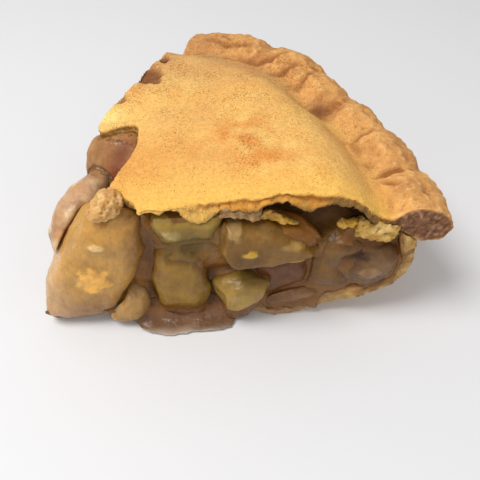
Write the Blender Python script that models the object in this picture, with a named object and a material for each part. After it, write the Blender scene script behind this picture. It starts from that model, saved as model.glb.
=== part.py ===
"""A slice of double-crust apple pie: domed lid with a crimped rim, bottom crust, syrup and apple pieces.

Run with blender --background --python part.py, or from the text editor. Sizes are in metres, +Z up.
The slice stands on its flat bottom crust with the origin under its middle. The front cut faces -Y and
runs from the tip, on the left, to the rim, on the right. The back cut is turned from it by SLICE_ANGLE.
"""

import math

import bmesh
import bpy
from mathutils import Matrix, Vector, noise

# The whole slice
SLICE_ANGLE = math.radians(65)
PIE_CENTRE = Vector((-0.060, -0.034, 0.0))
FIT_GAP = 0.0005
CLEARANCE = 0.0007
MERGE_DISTANCES = (0.00002, 0.000005, 0.000001)
NUDGES = (0.0, 0.00001, -0.00002, 0.00003, -0.00005)

# Lid: a sheet that domes over the filling and falls to a crease just inside the rim
LID_HEIGHT = 0.0526
LID_BACK_DROP = 0.0030
LID_THICKNESS = 0.0036
LID_FALL_START = 0.088
LID_STATIONS = (15, 39, 1)
DOME_STATIONS = 9

# Rim: a thick roll with a tilted oval section, pinched along its length
CREASE_RADIUS = 0.1030
CREASE_HEIGHT = 0.0415
RIM_RADIUS = 0.1128
RIM_HEIGHT = 0.0392
RIM_HALF_WIDTH = 0.0090
RIM_HALF_HEIGHT = 0.0060
RIM_TILT = math.radians(-24)
RIM_BACK_RISE = 0.0030
PINCHES = (  # angle along the rim in degrees, slant of the pinch across it, depth of its inner pit
    (10.5, 0.03, 0.0016),
    (21.5, -0.02, 0.0018),
    (30.0, 0.02, 0.0042),
    (39.5, -0.14, 0.0008),
    (48.5, 0.12, 0.0012),
    (57.5, 0.05, 0.0012),
)

# Bottom crust: a flat base that turns up into a leaning wall, pulled back under the tip's front edge
BASE_RADIUS = 0.080
BASE_THICKNESS = 0.0036
TIP_RADIUS = 0.0075
TIP_PULLED_BACK = 0.0042
WALL_OUTSIDE = ((BASE_RADIUS, 0.0), (0.093, 0.012), (0.1180, 0.004), (0.1114, 0.0360))
WALL_INSIDE = ((0.074, BASE_THICKNESS), (0.0967, 0.017), (0.1140, 0.005), (0.1066, 0.0385))
BOTTOM_STATIONS = (16, 12, 1)
BASE_STATIONS = 9

# Filling: thickened syrup that the apple pieces are set in, with a hollow under the lid
FILLING_START = 0.010
FILLING_INSET = 0.0014
FILLING_STATIONS = (14, 6, 5)
HOLLOW_PLACE = (0.0795, 0.003)
HOLLOW_REACH = (0.0140, 0.024)
HOLLOW_DEPTH = 0.015

# Syrup that has run out in front of the cut
PUDDLE_SPAN = (0.027, 0.060)
PUDDLE_REACH = 0.0078
PUDDLE_ROOT = (0.0022, 0.0070)
PUDDLE_THICKNESS = 0.0014

# Apple pieces: name, cut that it shows at, place (along the cut, into the slice, height) and size the
# same way in millimetres, roll and turn in degrees, taper, shear, how far it stands proud in millimetres
PIECES = (
    ("apple_tip", "front", (17.6, 6.5, 22.5), (26, 20, 48), 0, 0, 0.20, 0.43, 1.0),
    ("apple_tip_foot", "front", (25.5, 3.5, 7.6), (13, 12, 14.5), -10, 8, 0.10, 0.1, 1.5),
    ("apple_tip_side", "back", (25.5, 4.6, 27.5), (34, 13, 25), -8, 0, 0.10, 0.15, 1.6),
    ("apple_side_bulge", "back", (45.0, 8.0, 35.0), (25, 23, 26), -16, 0, 0.15, 0.0, 2.0),
    ("apple_green_top", "front", (45.5, 6.0, 40.0), (23, 18, 17), 6, 0, -0.06, 0.0, -0.2),
    ("apple_green_egg", "front", (43.2, 6.5, 17.5), (20, 19, 32), 4, 0, 0.02, 0.06, 0.6),
    ("apple_centre", "front", (68.8, 3.4, 34.0), (19.5, 12.5, 30), -80, -6, 0.42, 0.1, 2.2),
    ("apple_brown", "front", (74.0, 8.0, 18.5), (19.5, 17, 19), 14, 6, 0.10, 0.1, -0.9),
    ("apple_wedge", "front", (61.0, 3.4, 11.8), (16, 13, 16), 6, 6, -0.42, 0.2, 2.4),
    ("apple_right_low", "front", (101.0, 5.0, 21.5), (21, 15, 16), 38, 4, 0.10, 0.0, 1.0),
    ("apple_right", "front", (89.5, 4.2, 22.6), (17, 13.5, 23), -4, -4, 0.08, 0.1, 0.2),
    ("apple_right_foot", "front", (78.0, 2.6, 9.0), (19, 12, 8.5), 12, 0, 0.10, 0.0, 0.6),
    ("apple_back_low", "back", (46.5, 6.0, 14.0), (26, 18, 21), 14, 0, 0.15, 0.1, 0.6),
    ("apple_back_mid", "back", (67.5, 5.5, 35.5), (28, 18, 23), 8, 0, 0.20, 0.0, 1.6),
    ("apple_back_foot", "back", (71.5, 6.5, 14.5), (26, 18, 20), -12, 0, 0.05, 0.2, 0.4),
    ("apple_back_rim", "back", (91.5, 6.0, 29.5), (23, 17, 24), -24, 0, 0.10, 0.0, 1.0),
    ("apple_back_wall", "back", (93.0, 5.5, 15.0), (18, 14, 13), 30, 0, 0.10, 0.0, 0.4),
)
PIECE_CELLS = 4
PIECE_ROUNDING = 0.72
PIECE_TRIANGLES = 200

# Bits of crust that broke off the lid, given the same way
CRUST_BITS = (
    ("crust_lump", "front", (25.0, 4.2, 46.0), (10.5, 8, 8), -20, 10, 0.1, 0.0, 1.2),
    ("crust_bit_centre", "front", (72.0, 3.6, 42.0), (15, 7.5, 5.5), -26, 6, 0.1, 0.0, 2.0),
    ("crust_bit_right", "front", (99.5, 3.8, 38.0), (14, 8, 9.5), -16, 0, 0.1, 0.0, 2.4),
)
BIT_CELLS = 4
BIT_ROUNDING = 0.8
BIT_TRIANGLES = 110

# Finishes: colour, roughness
FINISHES = {
    "lid_crust": ((0.86, 0.55, 0.20), 0.75),
    "bottom_crust": ((0.62, 0.42, 0.20), 0.75),
    "syrup": ((0.26, 0.13, 0.05), 0.25),
    "apple": ((0.55, 0.38, 0.15), 0.35),
    "crust_crumb": ((0.80, 0.56, 0.22), 0.85),
}


def mix(first, second, share):
    return first + (second - first) * share


def smooth(low, high, value):
    share = min(1.0, max(0.0, (value - low) / (high - low)))
    return share * share * (3 - 2 * share)


def bell(value, width):
    return math.exp(-((value / width) ** 2))


def ripple(x, y, size, seed):
    """Smooth noise from -1 to 1 over lengths of about size, so a form wanders but is the same each run."""
    return noise.noise(Vector((x / size + 3.7 * seed, y / size - 1.9 * seed, 0.61 * seed)))


def drift(point, size, seed):
    """Three such noises at once, to shift a point."""
    place = point / size
    return Vector([noise.noise(place + Vector((seed, 17.3 * axis, 2 * seed))) for axis in range(3)])


def around(radius, angle, height):
    """The point at that radius and angle from the pie's centre."""
    return PIE_CENTRE + Vector((radius * math.cos(angle), radius * math.sin(angle), height))


def to_polar(point):
    across = point - PIE_CENTRE
    return math.hypot(across.x, across.y), math.atan2(across.y, across.x)


# Each cut: the direction along it from the tip, and the direction into the slice
CUTS = {
    "front": (Vector((1, 0, 0)), Vector((0, 1, 0))),
    "back": (
        Vector((math.cos(SLICE_ANGLE), math.sin(SLICE_ANGLE), 0)),
        Vector((math.sin(SLICE_ANGLE), -math.cos(SLICE_ANGLE), 0)),
    ),
}


def along_cut(point, cut):
    return (point - PIE_CENTRE).dot(CUTS[cut][0])


def depth_from(point, cut):
    return (point - PIE_CENTRE).dot(CUTS[cut][1])


def torn(point, amount, size, seed):
    """Moves a point near a cut out or in, so that the edge is torn there and not sliced."""
    moved = point.copy()
    for number, cut in enumerate(CUTS):
        depth = max(0.0, depth_from(point, cut))
        wander = ripple(along_cut(point, cut), 0.0, size, seed + 7 * number)
        moved += CUTS[cut][1] * (amount * wander * math.exp(-depth / 0.006))
    return moved


def bezier(points, share):
    """A point of the cubic curve with these four controls."""
    rest = 1 - share
    weights = (rest**3, 3 * rest * rest * share, 3 * rest * share * share, share**3)
    return tuple(sum(w * p[axis] for w, p in zip(weights, points)) for axis in (0, 1))


def wall_radius(height):
    """Inner radius of the bottom crust's wall at a height."""
    low, high = 0.0, 1.0
    for _ in range(24):
        middle = (low + high) / 2
        if bezier(WALL_INSIDE, middle)[1] < height:
            low = middle
        else:
            high = middle
    return bezier(WALL_INSIDE, low)[0]


def towards_back(angle):
    """From 0 to 1 where the rim swells and lifts towards the back cut, easing off at its very end."""
    degrees = math.degrees(angle)
    return smooth(31, 43, degrees) * (1 - 1.1 * smooth(56, 65, degrees))


def crease(angle):
    """Radius and height of the crease between lid and rim."""
    swell = towards_back(angle)
    return CREASE_RADIUS + 0.0026 * swell, CREASE_HEIGHT + RIM_BACK_RISE * swell


def lid_top(radius, angle):
    """Height of the lid's upper side."""
    point = around(radius, angle, 0)
    height = LID_HEIGHT - LID_BACK_DROP * smooth(0.45, 1.0, angle / SLICE_ANGLE)
    height += 0.0011 * ripple(point.x, point.y, 0.024, 1)
    height -= 0.0022 * (1 - smooth(0.030, 0.060, radius))
    front = max(0.0, depth_from(point, "front"))
    near_tip = 1 - smooth(0.046, 0.062, along_cut(point, "front"))
    height -= (0.0008 + 0.0030 * near_tip) * bell(front, 0.009)
    crease_radius, crease_height = crease(angle)
    return mix(height, crease_height, smooth(LID_FALL_START, crease_radius, radius))


def lid_underside(radius, angle):
    """Height of the lid's lower side, which hangs in two torn flaps along the front cut."""
    fall = smooth(LID_FALL_START, CREASE_RADIUS, radius)
    point = around(radius, angle, 0)
    front = max(0.0, depth_from(point, "front"))
    place = along_cut(point, "front")
    flaps = 0.0030 * bell(place - 0.0495, 0.0050) + 0.0026 * bell(place - 0.0800, 0.0050)
    return lid_top(radius, angle) - LID_THICKNESS * (1 + 0.12 * fall) - flaps * bell(front, 0.0024)


def torn_radius(angle):
    """Where the lid is broken off near the tip. It is bitten into beside a flake at the back cut."""
    degrees = math.degrees(angle)
    radius = 0.0340 - 0.0070 * bell(degrees - 18, 10) + 0.0105 * smooth(25, 48, degrees)
    radius += 0.0030 * bell(degrees - 50, 5) - 0.0030 * bell(degrees - 61, 4)
    return radius + 0.0008 * ripple(angle * 0.035, 0, 0.004, 11)


def pinch_depth(angle, share):
    """How deep the pinches are at an angle, share of the way over the rim from crease to outer edge."""
    depth = 0.0
    for degrees, slant, pit in PINCHES:
        away = (angle - math.radians(degrees) - slant * (share - 0.35)) * RIM_RADIUS
        depth += 0.0006 * bell(away, 0.0062) + 0.0011 * bell(away, 0.0030)
        depth += pit * bell(away, 0.0038) * bell(share - 0.14, 0.15)
    return depth * (1 - 0.35 * smooth(0.55, 1.0, share))


def rim_section(turn, angle):
    """Radius and height of a point of the rim's oval section, turn in degrees from its outer side."""
    grow = 1 + 0.10 * ripple(angle * RIM_RADIUS, 0, 0.016, 5)
    swell = towards_back(angle)
    across = RIM_HALF_WIDTH * grow * math.cos(math.radians(turn))
    up = RIM_HALF_HEIGHT * grow * math.sin(math.radians(turn))
    radius = across * math.cos(RIM_TILT) - up * math.sin(RIM_TILT)
    height = across * math.sin(RIM_TILT) + up * math.cos(RIM_TILT)
    out = 0.0008 * ripple(angle * RIM_RADIUS, 0, 0.020, 6) + 0.0022 * swell
    return RIM_RADIUS + out + radius, RIM_HEIGHT + RIM_BACK_RISE * swell + height


def lid_point(a, b, c):
    """Maps a unit block to the lid: a from tip to rim, b from front cut to back cut, c from below up."""
    angle = b * SLICE_ANGLE
    dome_share = DOME_STATIONS / LID_STATIONS[0]
    if a <= dome_share + 1e-6:
        share = 1 - max(0.0, 1 - a / dome_share) ** 1.35
        radius = mix(torn_radius(angle), crease(angle)[0], share)
        upper = (radius, lid_top(radius, angle))
        lower = (radius, lid_underside(radius, angle))
    else:
        share = (a - dome_share) / (1 - dome_share)
        upper = rim_section(mix(165, -10, share), angle)
        dent = pinch_depth(angle, share)
        upper = (upper[0] - 0.8 * dent * smooth(0.4, 0.8, share), upper[1] - dent)
        lower = rim_section(mix(225, 338, share), angle)
        dent *= smooth(0.6, 1.0, share)
        lower = (lower[0] - 0.8 * dent, lower[1] - dent)
    point = around(mix(lower[0], upper[0], c), angle, mix(lower[1], upper[1], c))
    return torn(point, 0.0017, 0.0065, 2)


def bottom_point(a, b, c):
    """Maps a unit block to the bottom crust: a from tip to wall top, c from outside to inside."""
    base_share = BASE_STATIONS / BOTTOM_STATIONS[0]
    if a <= base_share + 1e-6:
        share = a / base_share
        outside = (mix(TIP_RADIUS, WALL_OUTSIDE[0][0], share), 0.0)
        inside = (mix(TIP_RADIUS, WALL_INSIDE[0][0], share), BASE_THICKNESS)
    else:
        share = (a - base_share) / (1 - base_share)
        outside = bezier(WALL_OUTSIDE, share)
        inside = bezier(WALL_INSIDE, share)
    point = around(mix(outside[0], inside[0], c), b * SLICE_ANGLE, mix(outside[1], inside[1], c))
    place = along_cut(point, "front")
    back = TIP_PULLED_BACK * (1 - smooth(0.060, 0.070, place)) * smooth(0.0, 0.026, place)
    point.y += back * math.exp(-max(0.0, depth_from(point, "front")) / 0.010)
    return torn(point, 0.0012, 0.0110, 4)


def filling_top(radius, angle):
    """Height of the syrup: under the lid, low at the open tip, and sunk in a hollow behind the front cut."""
    point = around(radius, angle, 0)
    height = min(lid_underside(radius, angle) - CLEARANCE, mix(0.024, 0.052, smooth(0.004, 0.062, radius)))
    along = along_cut(point, "front") - HOLLOW_PLACE[0]
    into = depth_from(point, "front") - HOLLOW_PLACE[1]
    sunk = bell(along, HOLLOW_REACH[0]) * bell(max(0.0, into), HOLLOW_REACH[1])
    return height - HOLLOW_DEPTH * sunk - 0.0008 * (1 + ripple(point.x, point.y, 0.010, 8))


def filling_point(a, b, c):
    """Maps a unit block to the syrup, with shallow runs and dips in its faces."""
    angle = b * SLICE_ANGLE
    floor = BASE_THICKNESS + CLEARANCE
    height = mix(floor, filling_top(mix(FILLING_START, CREASE_RADIUS, a), angle), c)
    reach = mix(FILLING_START, wall_radius(height) - CLEARANCE, a)
    height = min(height, filling_top(reach, angle))
    point = around(reach, angle, height)
    moved = point.copy()
    for number, cut in enumerate(CUTS):
        depth = max(0.0, depth_from(point, cut))
        relief = 1.0 + 0.6 * ripple(along_cut(point, cut), height, 0.011, 20 + number)
        moved += CUTS[cut][1] * (FILLING_INSET * relief * math.exp(-depth / 0.009))
    return moved


def puddle_point(a, b, c):
    """Maps a unit block to the puddle, b from its root in the syrup's face out over the plate."""
    place = mix(PUDDLE_SPAN[0], PUDDLE_SPAN[1], a)
    bow = math.sqrt(max(0.0, 1 - (2 * a - 1) ** 2))
    reach = 0.0010 + PUDDLE_REACH * bow * (0.85 + 0.35 * ripple(place, 0, 0.009, 9))
    depth = mix(PUDDLE_ROOT[0], -reach * mix(1.0, 0.93, c), b)
    lip = PUDDLE_THICKNESS * mix(0.5, 1.0, bow) * (1 - 0.7 * smooth(0.55, 1.0, b))
    thickness = mix(PUDDLE_ROOT[1], lip, smooth(0.0, 0.45, b))
    return PIE_CENTRE + Vector((place, depth, 0.0004 + thickness * c))


def rounded(corner, rounding):
    """A point of a cube from -1 to 1, drawn towards the ball inside it."""
    x, y, z = (value * value for value in corner)
    ball = Vector(
        (
            corner.x * math.sqrt(1 - y / 2 - z / 2 + y * z / 3),
            corner.y * math.sqrt(1 - z / 2 - x / 2 + z * x / 3),
            corner.z * math.sqrt(1 - x / 2 - y / 2 + x * y / 3),
        )
    )
    return corner.lerp(ball, rounding)


def piece_rule(piece, rounding, roughness, seed):
    """The rule that maps a unit block to one apple piece or bit of crust, before the knife."""
    _, cut, place, size, roll, turn, taper, shear, _ = piece
    along, inward = CUTS[cut]
    to_cut = Matrix((along, inward, Vector((0, 0, 1)))).transposed()
    turned = Matrix.Rotation(math.radians(turn), 3, "Z") @ Matrix.Rotation(math.radians(-roll), 3, "Y")
    centre = PIE_CENTRE + to_cut @ (Vector(place) * 0.001)
    half = Vector(size) * 0.0005

    def rule(a, b, c):
        corner = rounded(Vector((2 * a - 1, 2 * b - 1, 2 * c - 1)), rounding)
        wide = 1 - taper * corner.z
        local = Vector((half.x * corner.x * wide, half.y * corner.y * wide, half.z * corner.z))
        local.x += shear * local.z
        local = turned @ local
        wander = drift(centre + local, 0.009, seed)
        return centre + to_cut @ local + wander * roughness

    return rule


def finish_of(slot):
    colour, roughness = FINISHES[slot]
    material = bpy.data.materials.get(slot) or bpy.data.materials.new(slot)
    material.use_nodes = True
    shader = material.node_tree.nodes["Principled BSDF"]
    shader.inputs["Base Color"].default_value = (*colour, 1)
    shader.inputs["Roughness"].default_value = roughness
    material.diffuse_color = (*colour, 1)
    return material


def shaped_block(name, cells, rule, slot, collection):
    """A cube divided into cells along each axis, with every corner then placed by the rule."""
    shape = bmesh.new()
    bmesh.ops.create_cube(shape, size=1)
    bmesh.ops.translate(shape, vec=(0.5, 0.5, 0.5), verts=shape.verts)
    for axis, count in enumerate(cells):
        edges = [e for e in shape.edges if abs((e.verts[0].co - e.verts[1].co)[axis]) > 1e-4]
        if count > 1:
            bmesh.ops.subdivide_edges(shape, edges=edges, cuts=count - 1, use_grid_fill=True)
    for vertex in shape.verts:
        vertex.co = rule(*vertex.co)
    bmesh.ops.triangulate(shape, faces=shape.faces)
    bmesh.ops.recalc_face_normals(shape, faces=shape.faces)
    mesh = bpy.data.meshes.new(name)
    shape.to_mesh(mesh)
    shape.free()
    mesh.materials.append(finish_of(slot))
    obj = bpy.data.objects.new(name, mesh)
    collection.objects.link(obj)
    bpy.context.view_layer.update()
    return obj


def sliced(mesh, point, outward):
    """Cuts a mesh flat at a plane and drops what lies outward of it."""
    shape = bmesh.new()
    shape.from_mesh(mesh)
    everything = (*shape.verts, *shape.edges, *shape.faces)
    cut = bmesh.ops.bisect_plane(shape, geom=everything, plane_co=point, plane_no=outward, clear_outer=True)
    rim = [part for part in cut["geom_cut"] if isinstance(part, bmesh.types.BMEdge)]
    bmesh.ops.holes_fill(shape, edges=rim)
    bmesh.ops.triangulate(shape, faces=shape.faces)
    bmesh.ops.recalc_face_normals(shape, faces=shape.faces)
    shape.to_mesh(mesh)
    shape.free()


def trim(mesh, piece):
    """Cuts a piece flat along both cuts, just above the plate and where it would meet the wall."""
    _, cut, place, *_, proud = piece
    for _, inward in CUTS.values():
        sliced(mesh, PIE_CENTRE - inward * (proud * 0.001), -inward)
    sliced(mesh, Vector((0, 0, 0.0006)), Vector((0, 0, -1)))
    height = place[2] * 0.001
    angle = to_polar(PIE_CENTRE + CUTS[cut][0] * place[0] + CUTS[cut][1] * place[1])[1]
    slope = (wall_radius(height + 0.001) - wall_radius(height - 0.001)) / 0.002
    outward = Vector((math.cos(angle), math.sin(angle), -slope)).normalized()
    sliced(mesh, around(wall_radius(height) - CLEARANCE, angle, height), outward)


def grown_copy(obj, collection):
    """A copy of a solid with its surface moved out by the fit gap, to cut its neighbours clear of it."""
    grown = obj.copy()
    grown.data = obj.data.copy()
    grown.name = obj.name + "_cutter"
    collection.objects.link(grown)
    shift = grown.modifiers.new("Grow", "DISPLACE")
    shift.direction = "NORMAL"
    shift.mid_level = 0
    shift.strength = FIT_GAP
    grown.hide_render = True
    grown.display_type = "WIRE"
    bpy.context.view_layer.update()
    return grown


def near(first, second):
    """Whether two objects' boxes meet."""
    boxes = [[obj.matrix_world @ Vector(corner) for corner in obj.bound_box] for obj in (first, second)]
    lows = [[min(corner[axis] for corner in box) for axis in range(3)] for box in boxes]
    highs = [[max(corner[axis] for corner in box) for axis in range(3)] for box in boxes]
    margin = 2 * FIT_GAP
    return all(
        lows[0][axis] < highs[1][axis] + margin and lows[1][axis] < highs[0][axis] + margin
        for axis in range(3)
    )


def cleaned(mesh, distance):
    """Merges slivers, drops the loose scraps that a cut leaves, and tells if one closed skin is left."""
    shape = bmesh.new()
    shape.from_mesh(mesh)
    bmesh.ops.remove_doubles(shape, verts=shape.verts, dist=distance)
    bmesh.ops.dissolve_degenerate(shape, edges=shape.edges, dist=distance)
    bmesh.ops.triangulate(shape, faces=shape.faces)
    left = set(shape.verts)
    islands = []
    while left:
        island, todo = set(), [left.pop()]
        while todo:
            vertex = todo.pop()
            island.add(vertex)
            joined = {edge.other_vert(vertex) for edge in vertex.link_edges} & left
            left -= joined
            todo.extend(joined)
        islands.append(island)
    islands.sort(key=len)
    scraps = [vertex for island in islands[:-1] for vertex in island]
    bmesh.ops.delete(shape, geom=scraps, context="VERTS")
    shape.to_mesh(mesh)
    closed = len(shape.faces) > 3 and all(part.is_manifold for part in (*shape.edges, *shape.verts))
    shape.free()
    return closed


def apply_modifiers(obj):
    """Turns an object's modifiers into its mesh if that gives one closed skin, or else drops them."""
    bpy.context.view_layer.update()
    graph = bpy.context.evaluated_depsgraph_get()
    made = bpy.data.meshes.new_from_object(obj.evaluated_get(graph))
    obj.modifiers.clear()
    for distance in MERGE_DISTANCES:
        mesh = made.copy()
        if cleaned(mesh, distance):
            obj.data = mesh
            bpy.context.view_layer.update()
            return True
    return False


def combine(obj, other, operation):
    """Joins another solid to an object, or cuts the object clear of it, nudging it until that closes."""
    for nudge in NUDGES:
        other.location = Vector((1.0, -0.7, 0.4)) * nudge
        for solver in ("MANIFOLD", "EXACT"):
            step = obj.modifiers.new(other.name, "BOOLEAN")
            step.operation = operation
            step.solver = solver
            step.object = other
            if apply_modifiers(obj):
                other.location = (0, 0, 0)
                return
    raise RuntimeError(obj.name + " and " + other.name + " give no closed solid")


def cut_clear(obj, cutters):
    """Cuts an object clear of each cutter that it meets."""
    for cutter in cutters:
        if near(obj, cutter):
            combine(obj, cutter, "DIFFERENCE")


def thin_out(obj, triangles):
    """Thins an object towards a number of triangles, as far as its skin stays closed."""
    for ease in (1.0, 1.12, 1.25, 1.4):
        ratio = ease * triangles / len(obj.data.polygons)
        if ratio >= 1:
            return
        thin = obj.modifiers.new("Thin", "DECIMATE")
        thin.ratio = ratio
        if apply_modifiers(obj):
            return


def build():
    for obj in list(bpy.data.objects):
        bpy.data.objects.remove(obj, do_unlink=True)
    slice_parts = bpy.data.collections.new("apple_pie_slice")
    cutters = bpy.data.collections.new("cutters")
    bpy.context.scene.collection.children.link(slice_parts)
    bpy.context.scene.collection.children.link(cutters)

    lid = shaped_block("top_crust", LID_STATIONS, lid_point, "lid_crust", slice_parts)
    bottom = shaped_block("bottom_crust", BOTTOM_STATIONS, bottom_point, "bottom_crust", slice_parts)
    fitted = [grown_copy(lid, cutters)]
    cut_clear(bottom, fitted)
    fitted.append(grown_copy(bottom, cutters))

    families = (
        (PIECES, PIECE_CELLS, PIECE_ROUNDING, 0.0020, PIECE_TRIANGLES, "apple"),
        (CRUST_BITS, BIT_CELLS, BIT_ROUNDING, 0.0024, BIT_TRIANGLES, "crust_crumb"),
    )
    for pieces, cells, rounding, roughness, triangles, slot in families:
        for seed, piece in enumerate(pieces):
            rule = piece_rule(piece, rounding, roughness, 2.3 * seed)
            obj = shaped_block(piece[0], (cells,) * 3, rule, slot, slice_parts)
            trim(obj.data, piece)
            cut_clear(obj, fitted)
            thin_out(obj, triangles)
            fitted.append(grown_copy(obj, cutters))

    filling = shaped_block("filling", FILLING_STATIONS, filling_point, "syrup", slice_parts)
    puddle = shaped_block("puddle", (14, 4, 1), puddle_point, "syrup", cutters)
    combine(filling, puddle, "UNION")
    cut_clear(filling, fitted)
    for cutter in list(cutters.objects):
        bpy.data.objects.remove(cutter, do_unlink=True)
    bpy.data.collections.remove(cutters)

    for obj in slice_parts.objects:
        obj.data.shade_smooth()
        obj.data.set_sharp_from_angle(angle=math.radians(50))


build()
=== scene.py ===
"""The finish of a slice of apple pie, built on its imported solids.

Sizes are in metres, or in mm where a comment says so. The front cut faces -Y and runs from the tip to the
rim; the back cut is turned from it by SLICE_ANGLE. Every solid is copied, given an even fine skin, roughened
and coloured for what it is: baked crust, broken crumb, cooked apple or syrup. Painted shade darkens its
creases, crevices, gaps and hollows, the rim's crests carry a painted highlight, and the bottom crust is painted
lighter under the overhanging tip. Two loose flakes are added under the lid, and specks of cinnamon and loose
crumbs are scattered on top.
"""

import itertools
import math

import bmesh
import bpy
import numpy as np
from mathutils import Matrix, Vector
from mathutils.bvhtree import BVHTree


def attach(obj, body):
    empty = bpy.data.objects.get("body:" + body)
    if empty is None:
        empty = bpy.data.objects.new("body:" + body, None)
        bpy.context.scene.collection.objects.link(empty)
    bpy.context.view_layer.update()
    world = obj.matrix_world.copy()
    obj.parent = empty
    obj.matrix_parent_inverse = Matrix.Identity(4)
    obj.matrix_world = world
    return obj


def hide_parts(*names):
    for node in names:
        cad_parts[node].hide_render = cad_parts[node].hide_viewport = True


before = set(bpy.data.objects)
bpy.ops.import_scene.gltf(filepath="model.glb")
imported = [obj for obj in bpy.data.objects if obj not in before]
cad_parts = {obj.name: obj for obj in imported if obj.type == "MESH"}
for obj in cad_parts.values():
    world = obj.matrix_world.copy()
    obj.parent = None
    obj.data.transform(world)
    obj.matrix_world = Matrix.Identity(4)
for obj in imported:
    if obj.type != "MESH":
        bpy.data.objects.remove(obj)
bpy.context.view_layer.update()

# Layout of the slice, with the same values as its solids
APEX = np.array((-0.060, -0.034, 0.0))
SLICE_ANGLE = math.radians(65)
CREASE_RADIUS = 0.1030
CUTS = {
    "front": (np.array((1.0, 0.0, 0.0)), np.array((0.0, 1.0, 0.0))),
    "back": (
        np.array((math.cos(SLICE_ANGLE), math.sin(SLICE_ANGLE), 0.0)),
        np.array((math.sin(SLICE_ANGLE), -math.cos(SLICE_ANGLE), 0.0)),
    ),
}
INTO_FRONT = CUTS["front"][1]

# How fine each kind of skin is
LID_GRID = 0.00051
BOTTOM_GRID = 0.00062
APPLE_GRID = 0.00062
SYRUP_GRID = 0.00070
BIT_GRID = 0.00034

# The syrup is swollen to close the gaps round the apple, then drawn back to leave soft fillets
SYRUP_SWELL = 0.0011
SYRUP_SINK = 0.00055

# Folds pressed into the rim: radius in mm and angle in degrees at each end, width and depth in mm
RIM_FOLDS = (
    ((101.8, 19.6), (110.6, 20.3), 0.90, 0.8),
    ((101.2, 19.3), (101.5, 13.6), 1.20, 1.2),
    ((102.3, 9.8), (110.8, 10.4), 0.80, 0.8),
    ((104.2, 8.6), (106.6, 6.6), 0.75, 0.7),
    ((101.6, 33.2), (102.6, 27.0), 1.30, 1.0),
    ((104.0, 37.4), (112.5, 37.9), 0.90, 0.6),
    ((103.6, 42.6), (111.5, 41.6), 0.90, 0.6),
    ((102.2, 56.5), (105.6, 48.5), 1.10, 0.9),
    ((105.6, 48.5), (113.5, 45.0), 0.90, 0.6),
    ((109.0, 62.0), (110.5, 52.0), 0.90, 0.5),
)

# How low the ragged front edge of the lid hangs: mm along the cut and height in mm
LID_HEM = (
    (26.0, 48.5), (31.9, 48.3), (35.6, 47.0), (39.5, 45.8), (41.5, 47.6), (44.4, 47.2), (45.6, 44.6),
    (47.6, 43.4), (49.6, 42.7), (51.6, 43.6), (53.4, 45.4), (55.6, 47.8), (59.1, 47.2), (65.0, 47.0),
    (67.5, 50.0), (73.2, 50.2), (75.4, 48.4), (78.4, 45.9), (80.6, 45.7), (82.8, 47.8), (85.7, 48.4),
    (89.0, 47.4), (91.1, 48.0), (96.0, 44.5),
)

# Places where the lid is broken away at the back cut: mm from the tip and from the cut, half size in mm
LID_BREAKS = ((84.5, 1.2, 2.6, 1.3), (73.0, 1.5, 5.5, 1.0), (70.5, 6.0, 2.2, 0.9), (57.0, 0.0, 2.5, 0.7))

# Painted shade of a pit in the crease of the rim, as colour only: radius in mm, angle in degrees, size in mm
RIM_PIT_SHADE = (104.0, 30.5, 4.0)

# Toasted patches on the lid: mm along the front cut and in from it, size in mm, how strong
TOASTED = ((61.9, 26.0, 9.0, 1.0), (68.8, 14.5, 8.0, 0.95), (82.0, 8.5, 5.0, 0.5), (47.5, 20.0, 6.0, 0.45))

# Pools of syrup on the front cut, and painted shade in the gaps beside and under the apple pieces (the darkest,
# most sunk ones, at 12 mm up 35 mm along and at 52, 57.6, 62.5, 76 and 96.2 mm along): mm along it, height,
# half sizes, how far sunk, colour
SYRUP_POOLS_AND_SHADE = (
    (35.0, 26.0, 2.8, 13.0, 1.5, "74440c"),
    (35.0, 12.0, 3.2, 6.0, 0.8, "4c2e0c"),
    (47.0, 33.5, 9.0, 5.0, -0.4, "66501e"),
    (45.0, 30.0, 6.0, 3.0, -0.3, "705824"),
    (52.0, 12.0, 2.4, 7.5, 1.6, "3e2208"),
    (62.5, 21.0, 7.5, 2.0, 1.6, "381c04"),
    (57.6, 40.0, 2.6, 3.4, 1.8, "2e180a"),
    (76.0, 25.0, 5.0, 2.0, 1.4, "42260f"),
    (74.0, 14.0, 6.5, 8.0, 0.3, "744a28"),
    (95.0, 24.0, 11.0, 13.0, 0.0, "6a4624"),
    (86.5, 28.0, 4.0, 9.0, 0.5, "86602e"),
    (86.5, 21.0, 3.0, 4.0, 0.0, "8e6424"),
    (87.5, 13.5, 6.0, 3.5, 0.0, "7c5426"),
    (96.2, 26.6, 4.0, 2.0, 1.8, "42240f"),
    (103.5, 30.0, 4.0, 3.0, 0.8, "6a4a2c"),
    (99.0, 17.0, 6.0, 3.5, 0.0, "70502e"),
)

# How the puddle thins out to a film: mm in front of the cut, thickness in mm
PUDDLE_FILM = ((-3.0, 20.0), (-0.5, 5.0), (1.0, 1.8), (3.5, 0.9), (8.0, 0.3))

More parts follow.
